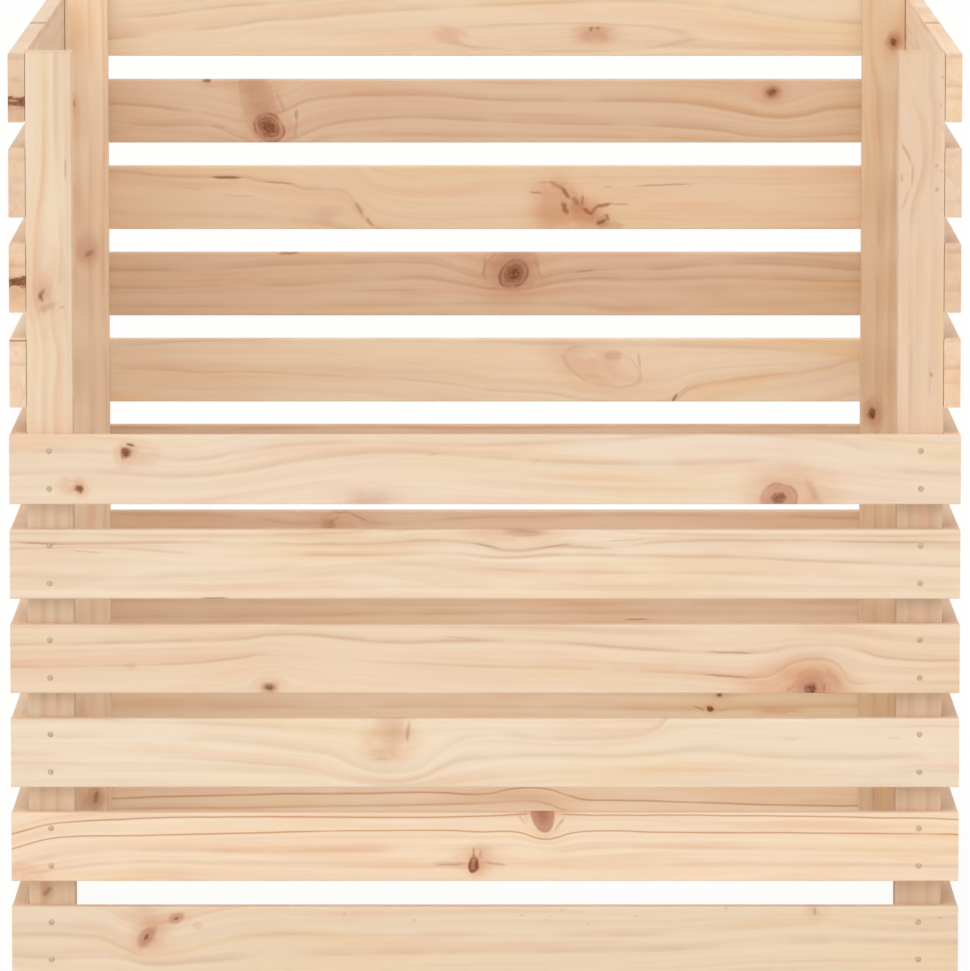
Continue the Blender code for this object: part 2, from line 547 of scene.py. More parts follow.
def pine_material(name, timber, axes, low, size, seed):
    """The pine of one timber. Axes are the world axes of along, up and depth; low and size are its box."""
    material = bpy.data.materials.new(name + "_pine")
    net = bare_net(material)
    rng = random.Random(seed)
    texture = net.add("ShaderNodeTexCoord").outputs
    scaled = net.add("ShaderNodeVectorMath", {0: texture["Object"], 3: MM}, operation="SCALE")
    place = net.split(scaled.outputs[0])
    along = place[axes[0]]
    up = net.minus(place[axes[1]], low[axes[1]] * MM)
    depth = net.minus(place[axes[2]], low[axes[2]] * MM)
    start, length = low[axes[0]] * MM, size[axes[0]] * MM
    facing = net.math("ABSOLUTE", net.split(texture["Normal"])[axes[0]])
    end = net.smooth(facing, 0.75, 0.95)
    shift = float(seed % 97)

    layer = net.plus(net.over(depth, 30.0), shift)
    wander = net.noise(net.over(along, 80.0), net.over(up, 30.0), layer, 2.0)
    bent = net.plus(up, net.times(net.minus(wander, 0.5), GRAIN_WANDER))
    for knot in timber.knots:
        if knot.bend:
            reach = knot.half_height * knot.bend
            stretch = 1.6 * knot.half_length / knot.half_height
            bent = net.call(PARTING, (along, bent, knot.along, knot.up, reach, stretch))[0]
    crisp, soft, flow = grain_field(net, along, bent, timber.lines, start, length, shift)

    heart_up = size[axes[1]] * MM * rng.uniform(-0.2, 1.2)
    heart_depth = rng.uniform(*HEART_DEPTHS)
    spacing = rng.uniform(*RING_SPACINGS)
    rings = net.call(RINGS, (along, flow, depth, heart_up, heart_depth, spacing, shift))[0]
    soft = net.math("MAXIMUM", soft, net.times(rings, RING_STRENGTH * timber.grain))
    for knot in timber.knots:
        share = net.call(HIDING, (along, up, *spot(knot), KNOT_STYLES[knot.style][-1]))[0]
        crisp, soft = net.times(crisp, share), net.times(soft, share)
    look = (srgb(*timber.tone), crisp, soft, timber.grain)
    colour = net.call(WOOD, (*look, along, up, flow, depth, end, shift))[0]
    for index, knot in enumerate(timber.knots):
        style = KNOT_STYLES[knot.style][:-1]
        colour = net.call(KNOT, (colour, along, up, depth, shift + index, *spot(knot), *style))[0]
    for mark in timber.marks:
        colour = net.call(MARK, (colour, along, up, *spot(mark), mark.dark))[0]

    across = (net.over(up, RELIEF_WIDTH), net.over(depth, RELIEF_WIDTH))
    relief = net.noise(net.over(along, RELIEF_LENGTH), *across, 2.0)
    values = {"Height": relief, "Strength": RELIEF_STRENGTH, "Distance": RELIEF_HEIGHT / MM}
    bump = net.add("ShaderNodeBump", values)
    values = {"Value": relief, "To Min": WOOD_ROUGHNESS[0], "To Max": WOOD_ROUGHNESS[1]}
    rough = net.add("ShaderNodeMapRange", values)
    net.gloss(colour, rough.outputs[0], bump.outputs[0], "Specular IOR Level", WOOD_SPECULAR)
    material.diffuse_color = srgb(*timber.tone)
    return material


def path(crisp, soft, *numbers):
    """A grain line whose points are one run of numbers: along, up, along, up and so on."""
    return Line(crisp, soft, tuple(zip(numbers[::2], numbers[1::2])))


# Timbers that the front view shows, each with the lines, knots and marks that it has there
# Each tone is the timber's own colour, but it is written lighter on the timbers inside the bin, which get
# less light there: on those timbers the tone is partly painted light
SHOWN = {
    "front_slat_06": Timber((232, 211, 188), lines=(
        path(0.1, 0.36, -400, 25, -315, 25, -250, 23, -211, 27, -145, 38, -80, 43, 4, 39, 100, 33, 180, 31,
            247, 30, 400, 24),
        path(0.12, 0.34, -400, 43, -290, 41, -250, 37, -200, 45, -145, 51, 4, 49, 100, 53, 180, 56, 285, 50,
            337, 40, 400, 38),
    ), knots=(
        Knot("blush", -291, 42, 11, 6), Knot("shade", -304, 31, 10, 4), Knot("dead", -302, 44, 5.4, 6.4, -20),
        Knot("speck", -298, 50.4, 3.6, 1.5, -15), Knot("blush", -347, 16, 8, 5),
        Knot("dead", -341, 13, 5, 4.6, 0, 1.3), Knot("shade", -97, 5, 26, 9), Knot("patch", -97, 3, 22, 11),
        Knot("blush", 256, 8, 24, 19), Knot("shade", 277, 2, 10, 22),
        Knot("ringed", 247, 5, 15.2, 12.4, 0, 1.2),
    ), marks=(
        Mark(0.2, -45, 42, 9, 0.8, 12), Mark(0.16, 42, 36, 6, 1, 30), Mark(0.2, 275, 12, 17, 3.4, -62),
        Mark(0.35, 243, 8, 4, 1.3, 40), Mark(0.35, 251, 8, 4.5, 1.3, -50),
    )),
    "front_slat_05": Timber((235, 215, 191), lines=(
        path(0.08, 0.26, -400, 9, -250, 8, -100, 10, 100, 8, 400, 6),
        path(0.1, 0.3, -400, 20, -280, 19, -167, 25, -110, 30, -60, 29, 0, 25, 80, 22, 200, 21, 300, 18,
            400, 12),
        path(0.32, 0.3, -400, 42, -330, 43, -283, 41, -241, 38, -186, 37, -70, 37, -30, 38, 10, 35, 60, 37,
            140, 36, 230, 34, 320, 30, 400, 27),
        path(0.42, 0.28, -400, 48, -350, 46.5, -250, 48, -100, 46, -40, 49, -4, 46, 12, 42, 27, 41, 60, 44,
            101, 43, 150, 48, 250, 49, 400, 47.5),
        path(0.3, 0.22, -400, 55, -340, 54, -250, 53, -100, 56, 30, 63, 150, 55, 400, 54),
    ), knots=(
        Knot("blush", 28, 55, 26, 5), Knot("shade", 33, 55.5, 24, 4.5), Knot("tan", 33, 56, 20, 3.4),
    ), marks=(
        Mark(0.22, 33, 57, 18, 0.9), Mark(0.4, -374, 47, 26, 0.9, -3), Mark(0.25, -335, 40, 20, 0.8, -5),
        Mark(0.32, 2, 45, 16, 1, -12), Mark(0.3, 60, 45, 22, 1, 8), Mark(0.25, 120, 50, 26, 0.9, 4),
        Mark(0.28, 330, 48, 60, 0.8, -1), Mark(0.7, -228, 0.6, 16, 0.9),
    ), grain=1.35),
    "front_slat_04": Timber((231, 207, 181), lines=(
        path(0.34, 0.34, -400, 22, -328, 22.5, -276, 23.5, -241, 25, -209, 28, -184, 31, -145, 28.5, -92, 26,
            4, 22, 100, 19.5, 176, 16.4, 203, 13.5, 223, 12.5, 239, 14, 250, 20, 264, 27, 279, 29, 294, 26,
            302, 17.5, 309, 8.5, 340, 8, 400, 8),
        path(0.34, 0.36, -400, 40.5, -328, 42, -250, 43.5, -205, 45, -181, 48.5, -158, 49, -118, 46, -90, 43,
            0, 44, 61, 43, 127, 37.5, 174, 34.5, 203, 33.5, 225, 34, 244, 36, 260, 39.4, 298, 40, 315, 36,
            336, 30, 365, 27.6, 400, 27.6),
        path(0.1, 0.3, -400, 56, -200, 57, -50, 56, 60, 54, 140, 50, 230, 50, 290, 52, 315, 49.5, 350, 44.4,
            400, 42.3),
    ), knots=(
        Knot("smudge", -298, 23, 3.2, 2.2), Knot("live", -182, 5, 8.4, 6, 0, 1.2),
        Knot("blush", 262, 5, 26, 14), Knot("shade", 291, 1, 20, 24), Knot("patch", 276, 4, 26, 22),
        Knot("cracked", 275, 3, 16.5, 16.5),
    ), marks=(
        Mark(0.5, 270.7, 4.6, 5, 1.5, 80), Mark(0.45, 277, 4.6, 4.6, 1.4, 100),
        Mark(0.45, 274, 1.6, 6.4, 1.3), Mark(0.4, 286, 5, 5.5, 1, 88), Mark(0.3, 256, 3, 4, 1.4, 40),
        Mark(0.14, 294, 13, 18, 3.5, -55), Mark(0.45, 206, 34.5, 28, 1, -2), Mark(0.45, 204, 14.5, 26, 1, -5),
        Mark(0.2, -20, 47, 22, 0.8, -4),
    )),
    "front_slat_03": Timber((234, 216, 193), lines=(
        path(0.06, 0.26, -400, 14, -200, 13, -150, 11, -110, 4, -85, 1, -50, 1, -10, 6, 40, 11, 150, 14,
            250, 13, 400, 13),
        path(0.1, 0.3, -400, 27, -270, 25, -195, 20, -150, 16, -120, 10, -95, 6, -75, 4.5, -55, 8, -36, 17,
            -15, 24, 0, 25, 60, 27, 110, 26, 150, 28, 185, 31.5, 225, 27, 260, 25, 400, 26),
        path(0.1, 0.3, -400, 42, -250, 41, -200, 38, -165, 33, -130, 27, -110, 18, -85, 12, -60, 14, -40, 27,
            -20, 40, 0, 44, 52, 40.5, 91, 40.5, 130, 44, 148, 51, 156, 60, 180, 66, 400, 68),
        path(0.1, 0.34, -400, 58, -290, 57, -200, 52.5, -140, 50, -105, 50),
    ), knots=(
        Knot("blush", -80, 44, 14, 14), Knot("shade", -79, 49, 18, 18), Knot("shade", -74, 47, 11, 15),
        Knot("patch", -86.5, 28.5, 13, 6),
    ), marks=(
        Mark(0.42, -64.5, 47, 12, 1.9, 86), Mark(0.18, -88, 23.8, 12, 1), Mark(0.16, 258, 41, 10, 0.9),
        Mark(0.16, 345, 42, 9, 0.9),
    )),
    "front_slat_02": Timber((238, 215, 189), lines=(
        path(0.12, 0.34, -400, 2, -375, 7, -350, 11, -300, 15, -223, 14, 0, 11, 100, 12, 250, 13, 400, 12),
        path(0.16, 0.34, -400, 12, -375, 18, -345, 23, -300, 25, -223, 25, -40, 26, 25, 27, 50, 25, 63, 25,
            80, 27, 101, 28, 180, 28, 400, 25),
        path(1.1, 0.14, -400, 27, -387, 31, -368, 36, -350, 38, -300, 38.5, -223, 40.5, -100, 43, -40, 43.3,
            -4, 41.5, 23, 42, 34, 40, 42, 37, 51, 35.6, 60, 36.8, 72, 40.5, 88, 42.5, 145, 41.5, 311, 41,
            400, 39),
        path(1.1, 0.14, -400, 40, -385, 44, -368, 48.5, -350, 50.6, -310, 52.7, -223, 54.5, 0, 55.3, 40, 57,
            60, 57, 90, 56.3, 190, 56, 311, 54.5, 400, 52.4),
    ), knots=(
        Knot("pale", 50, 59, 16, 21), Knot("shield", 48.5, 58, 9.6, 16, 12), Knot("blush", -8, 17, 12, 7),
        Knot("smudge", -3.5, 18, 5, 9), Knot("drop", -9.6, 14.4, 4.4, 7.4), Knot("blush", -390, 8, 12, 5),
    ), marks=(
        Mark(0.5, -9.6, 25, 5.5, 1.2, 86), Mark(0.8, -12.6, 14, 7.5, 1.4, 84),
        Mark(0.9, -7, 14.4, 8, 1.5, 93), Mark(0.9, -9.8, 8.8, 4.6, 1.5, 4), Mark(0.5, -9.6, 20, 4, 1.1),
        Mark(0.3, -4, 23, 6, 1.6, 80), Mark(0.22, -30, 15, 22, 2.4, -1), Mark(0.35, -30, 14, 19, 1, 3),
        Mark(0.38, 9, 14.6, 14, 1.3, -9), Mark(0.4, 63, 49, 9, 1.2, 54), Mark(0.25, 31, 53, 8, 1, -55),
    ), grain=1.25),
    "front_slat_01": Timber((228, 208, 184), lines=(
        path(0.1, 0.36, -400, 16.5, -360, 14, -310, 14, -285, 9, -240, 11, -180, 15, -100, 17, 0, 18,
            85, 19.5, 160, 21, 240, 26.5, 400, 26),
        path(0.1, 0.36, -400, 33.5, -350, 33, -325, 31, -305, 22, -286, 17, -262, 19, -235, 26, -200, 33,
            -100, 33, 0, 33.5, 100, 33, 160, 34, 235, 40, 285, 41.5, 330, 38, 400, 38),
    ), knots=(
        Knot("smudge", -287, 52, 12, 9), Knot("blush", -281, 34, 10, 8),
        Knot("oval", -286.5, 32.5, 12, 6.6, 50), Knot("oval", -261, 48.2, 7.2, 5.2, 16),
        Knot("blush", -243, 42, 2.6, 2), Knot("smudge", 279, 55, 6, 6),
    ), marks=(
        Mark(0.4, 279, 54, 5, 1.1, 88), Mark(0.3, -119, 52, 2.2, 0.9, 20), Mark(0.26, -60, 47, 2.4, 0.9, -15),
        Mark(0.28, 31, 51, 2.2, 0.9, 10), Mark(0.24, 52, 47, 2.4, 0.9, -20),
        Mark(0.28, 65, 55.5, 2.6, 0.9, 10), Mark(0.26, 87, 44, 2.2, 0.9, 15),
        Mark(0.28, 128, 50, 2.4, 0.9, -10), Mark(0.35, 204, 57, 2, 0.9), Mark(0.28, 385, 49, 2.2, 0.9, 10),
    )),
    "back_slat_10": Timber((243, 223, 195), lines=(
        path(0.05, 0.24, -400, -4, -40, -3, 60, 3, 120, 6, 160, 8, 240, 7, 400, 4),
        path(0.2, 0.34, -400, 10, -300, 20, -229, 28, -197, 33, -165, 34, -140, 37, -106, 40, -61, 43, 0, 46,
            150, 50, 220, 44, 290, 34, 400, 28),
        path(0.24, 0.34, -400, 31, -350, 34, -334, 35, -300, 37.5, -265, 42, -229, 46, -197, 48, -163, 51,
            -100, 57, 0, 62, 400, 60),
    ), knots=(
        Knot("tongue", 74, 17, 114, 13), Knot("blush", -33, 20, 10, 5, -10), Knot("patch", 101, 18.5, 18, 8),
        Knot("shade", 101, 20, 17, 9), Knot("blush", 101, 20, 12, 6),
    ), marks=(
        Mark(0.65, 98, 24.6, 3.4, 1.7, 55), Mark(0.55, 104, 25.6, 3, 1.3, -20),
        Mark(0.12, -12, 7.5, 18, 1.4, -18), Mark(0.16, 101, 26.3, 16, 0.9),
    )),
    "back_slat_09": Timber((229, 201, 172), lines=(
        path(0.1, 0.34, -400, 7, -300, 7, -240, 3, -200, -8, -175, -6, -140, 5, -106, 7, 0, 6, 180, 4,
            400, 0),
        path(0.26, 0.4, -400, 20, -350, 20, -311, 15.5, -254, 15, -243, 12, -225, 4, -199, -2, -175, 4,
            -163, 9.5, -140, 17.5, -106, 21, -61, 23.2, -38, 22, 0, 20, 68, 17.5, 182, 15.3, 218, 13,
            245, 8.4, 345, 8.4, 400, 9),
        path(0.26, 0.42, -400, 36, -350, 35.7, -311, 33.4, -284, 30, -261, 27, -238, 22, -225, 19, -199, 24,
            -180, 31, -168, 37, -152, 41, -129, 43, -93, 44, -49, 43.7, 0, 40, 68, 38.5, 182, 37, 227, 32.3,
            273, 26.2, 295, 27.8, 318, 32.3, 345, 33.4, 400, 33),
    ), knots=(
        Knot("shade", -242, 54, 24, 5), Knot("body", -209, 34, 15.5, 36, 14),
        Knot("patch", -209, 42, 13, 26, 14), Knot("shade", -180, 12, 8, 18),
        Knot("eye", -199.5, 14, 14.8, 12, -40), Knot("shade", -258, 53, 9, 5),
        Knot("live", 265, 46.7, 9.6, 7.4, 0, 1.4),
    ), marks=(
        Mark(0.45, -174.3, 25.7, 7, 1.9, 86), Mark(0.2, -174.5, 13, 13, 2, 84), Mark(0.9, -256.6, 57, 5.6, 2),
        Mark(0.22, -189, 38, 16, 1.6, -66), Mark(0.25, -247, 15, 9, 1.6, -8),
    )),
    "back_slat_08": Timber((241, 216, 185), lines=(
        path(0.1, 0.26, -400, 17, -350, 16, -320, 13, -270, 12, -210, 10, -150, 4, -110, -4, 0, -8, 400, -8),
        path(0.26, 0.26, -400, 54, -327, 52, -300, 49, -281, 48, -220, 47, -211, 44.3, -197, 43, -184, 42.5,
            -168, 37.5, -136, 36.5, -127, 32, -120, 23, -113, 11.5, -104, 3.3, -95, 0, -60, -5, 0, -5,
            400, -5),
    ), knots=(
        Knot("shade", -150, 14, 22, 12), Knot("shade", -146, 12, 14, 9), Knot("shade", -117, 18, 8, 12, 25),
        Knot("patch", 62, 19, 15, 24), Knot("blush", 64, 22, 13, 15), Knot("blush", 94, 12, 13, 11),
        Knot("shade", 96, 14, 20, 15, -20), Knot("tan", 117, 3, 12, 5), Knot("patch", 84, 27, 15, 5.5, -45),
        Knot("smudge", 83, 20, 8, 7), Knot("smudge", 97, 12, 8, 9), Knot("tan", 109, 8, 7.4, 5.8, 30),
    ), marks=(
        Mark(0.95, -239, 47.9, 20, 1.5), Mark(0.45, -190, 43, 20, 0.9, -4),
        Mark(0.18, -270, 37.5, 14, 0.8, -4), Mark(0.18, -230, 31, 26, 0.8, -2),
        Mark(0.4, -116, 19, 9, 1.8, -62), Mark(0.45, -107, 7, 7, 1.6, -50), Mark(0.5, 46.9, 34, 8.5, 1.2, -3),
        Mark(0.3, 57, 43.2, 13, 1.2), Mark(0.42, 67, 40.6, 10, 2.3, -26), Mark(0.8, 75, 33.6, 8.8, 2.2, -54),
        Mark(0.5, 83.5, 25.8, 7, 2.8, -46), Mark(0.8, 74, 19.6, 9, 2.8, -66), Mark(0.5, 90, 27, 7, 1.6, -86),
        Mark(0.7, 94.6, 16.2, 7, 2, -38), Mark(0.6, 100.4, 17.6, 7, 1.9, 50),
        Mark(0.8, 109.4, 21.6, 10.5, 2, 17), Mark(0.4, 124, 23.2, 14, 1, -3),
        Mark(0.85, 107.4, 6.8, 7.2, 2, 24), Mark(0.6, 113, 11, 5.4, 1.5, -62), Mark(0.28, 114, 39.5, 6, 0.8),
        Mark(0.5, 165, 41, 38, 0.9, 2),
    )),
    "back_slat_07": Timber((229, 201, 172), lines=(
        path(0.06, 0.28, -400, 8, -100, 9, 0, 10.5, 90, 9.5, 120, 6, 200, 9, 300, 12, 400, 14),
        path(0.24, 0.38, -400, 25, -300, 26, -222, 27.5, -180, 28, -142, 31, -97, 33, -55, 34, -38, 32,
            -15, 28, 0, 25, 12, 24, 30, 24, 45, 26, 57, 29, 75, 32, 91, 33.5, 136, 33, 227, 35, 273, 34,
            345, 31, 400, 30),
        path(0.26, 0.4, -400, 41, -311, 41.7, -262, 42, -222, 44.4, -188, 46.7, -142, 48, -48, 48, -38, 45.6,
            -15.5, 38, 0, 34, 14, 32, 34, 32, 50, 34, 68, 38, 80, 40, 109, 42, 159, 43.3, 205, 46.7, 250, 48,
            307, 45.6, 345, 42, 400, 40),
    ), knots=(
        Knot("patch", 25, 42, 24, 20), Knot("body", 25, 43, 25, 21.5), Knot("shade", -70, 21, 40, 5, -4),
        Knot("shade", 210, 21, 44, 8, -4), Knot("eye", 26.5, 38.8, 14.6, 11.4, 50),
    ), marks=(
        Mark(0.7, -182, 57.4, 14, 1), Mark(0.14, -92, 23.5, 50, 1.1, 1), Mark(0.25, -1, 46, 14, 1.5, 80),
        Mark(0.2, 49, 44, 14, 1.5, -72), Mark(0.28, 92, 41, 14, 1.2, 8), Mark(0.22, 300, 57, 50, 1, -2),
    ), grain=1.2),
    "back_slat_06": Timber((247, 228, 202), lines=(
        path(0.24, 0.3, -400, 30, -290, 29, -265, 27, -222, 27, -142, 23.5, -97, 22, -63, 19, -28, 15.5,
            0, 11, 57, 7.5, 77, 4, 105, -1, 165, -2, 193, 13, 216, 18, 250, 22.5, 284, 26, 318, 31.5, 341, 38,
            400, 40),
        path(0.12, 0.34, -400, 52, -340, 51, -280, 56, -200, 58, 0, 56, 60, 54, 145, 52, 182, 51.5, 250, 49.5,
            295, 46, 341, 41, 400, 42),
    ), knots=(
        Knot("blush", 92, 36, 22, 10, -20), Knot("pale", 108, 33, 37, 17, -18),
        Knot("tan", 118.6, 42.6, 8.6, 4.6),
    ), marks=(
        Mark(0.75, 176, 3.6, 7, 1.6, 62), Mark(0.22, 184, 11, 8, 1, 34), Mark(0.3, 143, 38, 11, 1.3, -82),
    )),
    "back_slat_04": Timber((236, 210, 183), lines=(
        path(0.2, 0.3, -400, 56, -300, 54, -222, 52, -160, 46, -134, 58, -105, 47, 0, 52, 400, 50),
    ), knots=(
        Knot("blush", -132, 48, 22, 9), Knot("shade", -142, 46, 14, 7), Knot("tan", -145, 45, 7, 5),
    ), marks=(
        Mark(0.3, -133, 57, 12, 1.2, -3), Mark(0.3, -118, 53, 14, 1.2, -24), Mark(0.25, -140, 50, 9, 1.6, 35),
    )),
    "back_slat_03": Timber((238, 214, 188), lines=(
        path(0.15, 0.3, -400, 38, -200, 40, 0, 42, 200, 42, 400, 41),
        path(0.15, 0.3, -400, 53, -200, 52, 0, 50, 200, 51, 400, 52),
    ), marks=(
        Mark(0.55, 141, 37, 16, 0.9, 1),
    )),
    "back_slat_02": Timber((246, 226, 198), lines=(
        path(0.1, 0.28, -400, 34, -100, 35, 100, 34, 209, 32, 260, 34, 400, 36),
        path(0.1, 0.24, -400, 50, -100, 48, 100, 47, 218, 45, 400, 50),
    ), knots=(
        Knot("smudge", 218, 46, 9, 4), Knot("speck", 218, 46, 3, 2), Knot("dead", 209.5, 33, 4.4, 3.2),
        Knot("smudge", 264, 31, 9, 2.5), Knot("smudge", 283, 31, 9, 2.5),
    ), marks=(
        Mark(0.5, 199, 34, 8, 0.9, -20), Mark(0.3, 222, 32, 8, 0.8, 10),
    )),
    "back_slat_01": Timber((255, 235, 209), lines=(
        path(0.5, 0.24, -400, 18, -100, 22, -48, 23, 0, 24.5, 25, 26, 46, 26, 57, 24, 77, 17, 100, 12,
            400, 8),
        path(0.9, 0.26, -400, 28.5, -350, 28.8, -306, 30.3, -248, 31.6, -191, 33, -120, 33.6, -48, 34.5,
            0, 33, 23, 37.4, 43, 38.8, 57, 37.4, 77, 31.6, 94, 27.6, 115, 27, 172, 26, 229, 24, 286, 22.5,
            400, 22),
    ), knots=(
        Knot("smudge", 35, 31, 46, 7),
    ), grain=0.5),
    "left_slat_10": Timber((231, 207, 182), knots=(
        Knot("smudge", -386, 10, 12, 12), Knot("torn", -386, 16, 9, 3.6), Knot("torn", -388, 20, 8, 3),
    ), marks=(
        Mark(0.6, -15, 58, 0.8, 14, 90),
    )),
    "right_slat_10": Timber((241, 217, 190), marks=(Mark(0.6, -15, 58, 0.8, 14, 90),)),
    "left_slat_09": Timber((231, 209, 186)),
    # Its dark stroke along the top of its front end is painted shade, where the post and the slat above shade
    # the slat
    "left_slat_07": Timber((240, 219, 195), marks=(Mark(0.8, -386, 56.4, 8, 0.9),)),
    "right_slat_09": Timber((235, 212, 190)),
    "left_slat_08": Timber((236, 210, 183), knots=(
        Knot("smudge", -386, 19, 12, 10), Knot("torn", -387, 25, 9, 3.6), Knot("torn", -388, 28, 8, 2.6),
    )),
    "post_front_left": Timber((231, 209, 183), lines=(
        path(0.12, 0.3, 0, 10, 200, 11, 460, 13.2, 490, 13.5, 523, 15.1, 553, 11.4, 572, 7.5, 596, 7,
            630, 8.5, 680, 14, 710, 15, 780, 15),
        path(0.14, 0.3, 0, 22, 200, 24, 460, 23.8, 490, 24.4, 523, 26.6, 555, 21.5, 572, 24, 596, 28.5,
            630, 29, 680, 26, 710, 25, 780, 25),
        path(0.06, 0.24, 0, 33, 300, 34, 540, 34, 570, 32, 620, 34.5, 683, 33.4, 780, 32),
    ), knots=(
        Knot("smudge", 580, 16, 22, 12), Knot("smudge", 577, 13, 9, 6), Knot("tan", 69, 15, 9, 7),
    ), marks=(
        Mark(0.36, 683, 33.6, 13, 1.1), Mark(0.6, 577, 13, 7.5, 1.7, 30),
        Mark(0.55, 574.5, 12.5, 6.5, 1.7, -14), Mark(0.3, 566, 18, 11, 3.4, 62),
        Mark(0.28, 566, 30, 3.5, 1.4, 80), Mark(0.55, 69, 15, 7, 2.4, 48),
    ), grain=0.8),
    "post_front_right": Timber((227, 200, 174), lines=(
        path(0, 0.2, 0, 2, 600, 1.5, 644, 1, 656, 5.3, 668, 9.5, 677, 11.3, 685, 10.4, 696, 6.6, 708, 0.5,
            780, 0),
        path(0.08, 0.36, 0, 9, 300, 10, 500, 9.5, 634, 9.5, 651, 11.3, 665, 15.5, 681, 19.7, 698, 20.9,
            714, 19.7, 729, 15.5, 744, 10.4, 761, 7.8, 780, 5),
        path(0.08, 0.3, 0, 26, 370, 27, 500, 26.9, 619, 28, 668, 27.3, 705, 29, 735, 29, 748, 26, 780, 26),
    ), marks=(
        Mark(0.34, 696, 6.4, 14, 1.5, -24), Mark(0.3, 677, 11.2, 12, 1.4, 3),
        Mark(0.18, 657, 5.8, 14, 1.5, 19), Mark(0.34, 675, 2.4, 5, 1.1), Mark(0.22, 760, 36.2, 2.2, 1.4),
        Mark(0.22, 736, 35.4, 2.2, 1.2), Mark(0.18, 717, 36.2, 2.2, 1.3), Mark(0.34, 685.4, 31.8, 2.6, 1.4),
        Mark(0.22, 681, 35.8, 2, 1), Mark(0.4, 665.4, 32.6, 3, 1.6), Mark(0.18, 649, 36, 2.2, 1.2),
        Mark(0.44, 509, 28.4, 3.2, 1.5), Mark(0.18, 503, 26.8, 22, 0.9),
    ), grain=0.8),
    "post_back_left": Timber((250, 229, 202), knots=(
        Knot("smudge", 680, 8, 6, 3), Knot("tan", 547, 19, 19, 13), Knot("smudge", 541, 21, 8, 7),
        Knot("tan", 36, 24, 14, 12), Knot("smudge", 36, 25, 8, 5),
    ), marks=(
        Mark(0.35, 681, 8, 4, 1.3), Mark(0.45, 543, 21.5, 7, 2.4, 55), Mark(0.55, 36, 25, 9, 2.4, 22),
    ), grain=0.8),
    "post_back_right": Timber((234, 209, 177), lines=(
        path(0.16, 0.34, 0, 12, 300, 13, 590, 14.6, 642, 15.7, 664, 13.6, 692, 13.2, 704, 11, 727, 7.6,
            780, 7),
        path(0.06, 0.26, 0, 27, 380, 25, 560, 27, 690, 32, 737, 36, 780, 35),
    ), knots=(
        Knot("smudge", 737, 29, 16, 11), Knot("tan", 738, 28, 9, 8), Knot("dead", 737, 28, 4.4, 4, 0, 1.6),
        Knot("tan", 395, 11, 17, 12), Knot("dead", 394, 10, 6, 4.8),
    ), grain=0.8),
}
SIDE_TONES = ((236, 213, 189), (233, 207, 181), (240, 217, 192), (230, 202, 176), (235, 211, 186))


def other_timber(rng, start, length, width):
    """A timber that the front view hides: gentle grain lines, now and then a knot, and one of the tones."""
    lines = []
    for share in (0.25, 0.6, 0.9):
        up = width * (share + rng.uniform(-0.08, 0.08))
        points = [(start + length * step / 6, up + rng.uniform(-0.05, 0.05) * width) for step in range(7)]
        lines.append(Line(rng.uniform(0.0, 0.35), rng.uniform(0.15, 0.35), tuple(points)))
    knots = []
    for _ in range(rng.choice((0, 1, 1, 2, 2))):
        half_height = rng.uniform(2.5, 7.0)
        half_length = half_height * rng.uniform(0.9, 1.5)
        along = start + length * rng.uniform(0.08, 0.92)
        up = width * rng.uniform(0.1, 0.9)
        style = rng.choice(("dead", "live", "live", "ringed", "ringed"))
        tilt, bend = rng.uniform(-20, 20), rng.uniform(1.2, 1.8)
        knots.append(Knot(style, along, up, half_length, half_height, tilt, bend))
    return Timber(rng.choice(SIDE_TONES), tuple(lines), tuple(knots))


def dress_timbers():
    """Gives every timber its own pine."""
    for index, name in enumerate(sorted(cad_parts)):
        low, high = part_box(name)
        size = high - low
        if name.startswith("post"):
            axes = (2, 0, 1)
        elif name.startswith(("left", "right")):
            axes = (1, 2, 0)
        else:
            axes = (0, 2, 1)
        seed = 11 + 13 * index
        start, length, width = low[axes[0]] * MM, size[axes[0]] * MM, size[axes[1]] * MM
        drawn = other_timber(random.Random(seed), start, length, width)
        timber = SHOWN.get(name, drawn)
        if not timber.lines:
            timber = timber._replace(lines=drawn.lines)
        material = pine_material(name, timber, axes, low, size, seed)
        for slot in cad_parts[name].material_slots:
            slot.material = material


def nail_steel():
    """Dull zinc with faint stains."""
    material = bpy.data.materials.new("nail_steel")
    net = bare_net(material)
    place = net.split(net.add("ShaderNodeTexCoord").outputs["Object"])
    x, y, z = (net.times(place[axis], 1 / NAIL_STAIN) for axis in range(3))
    stain = net.noise(x, y, z, 3.0)
    colour = net.mix(net.smooth(stain, 0.35, 0.7), srgb(209, 187, 161), srgb(188, 165, 140))
    bump = net.add("ShaderNodeBump", {"Height": stain, "Strength": 0.3, "Distance": 0.0002})
    values = {"Value": stain, "To Min": NAIL_ROUGHNESS[0], "To Max": NAIL_ROUGHNESS[1]}
    rough = net.add("ShaderNodeMapRange", values).outputs[0]
    net.gloss(colour, rough, bump.outputs[0], "Metallic", NAIL_METALLIC)
    return material


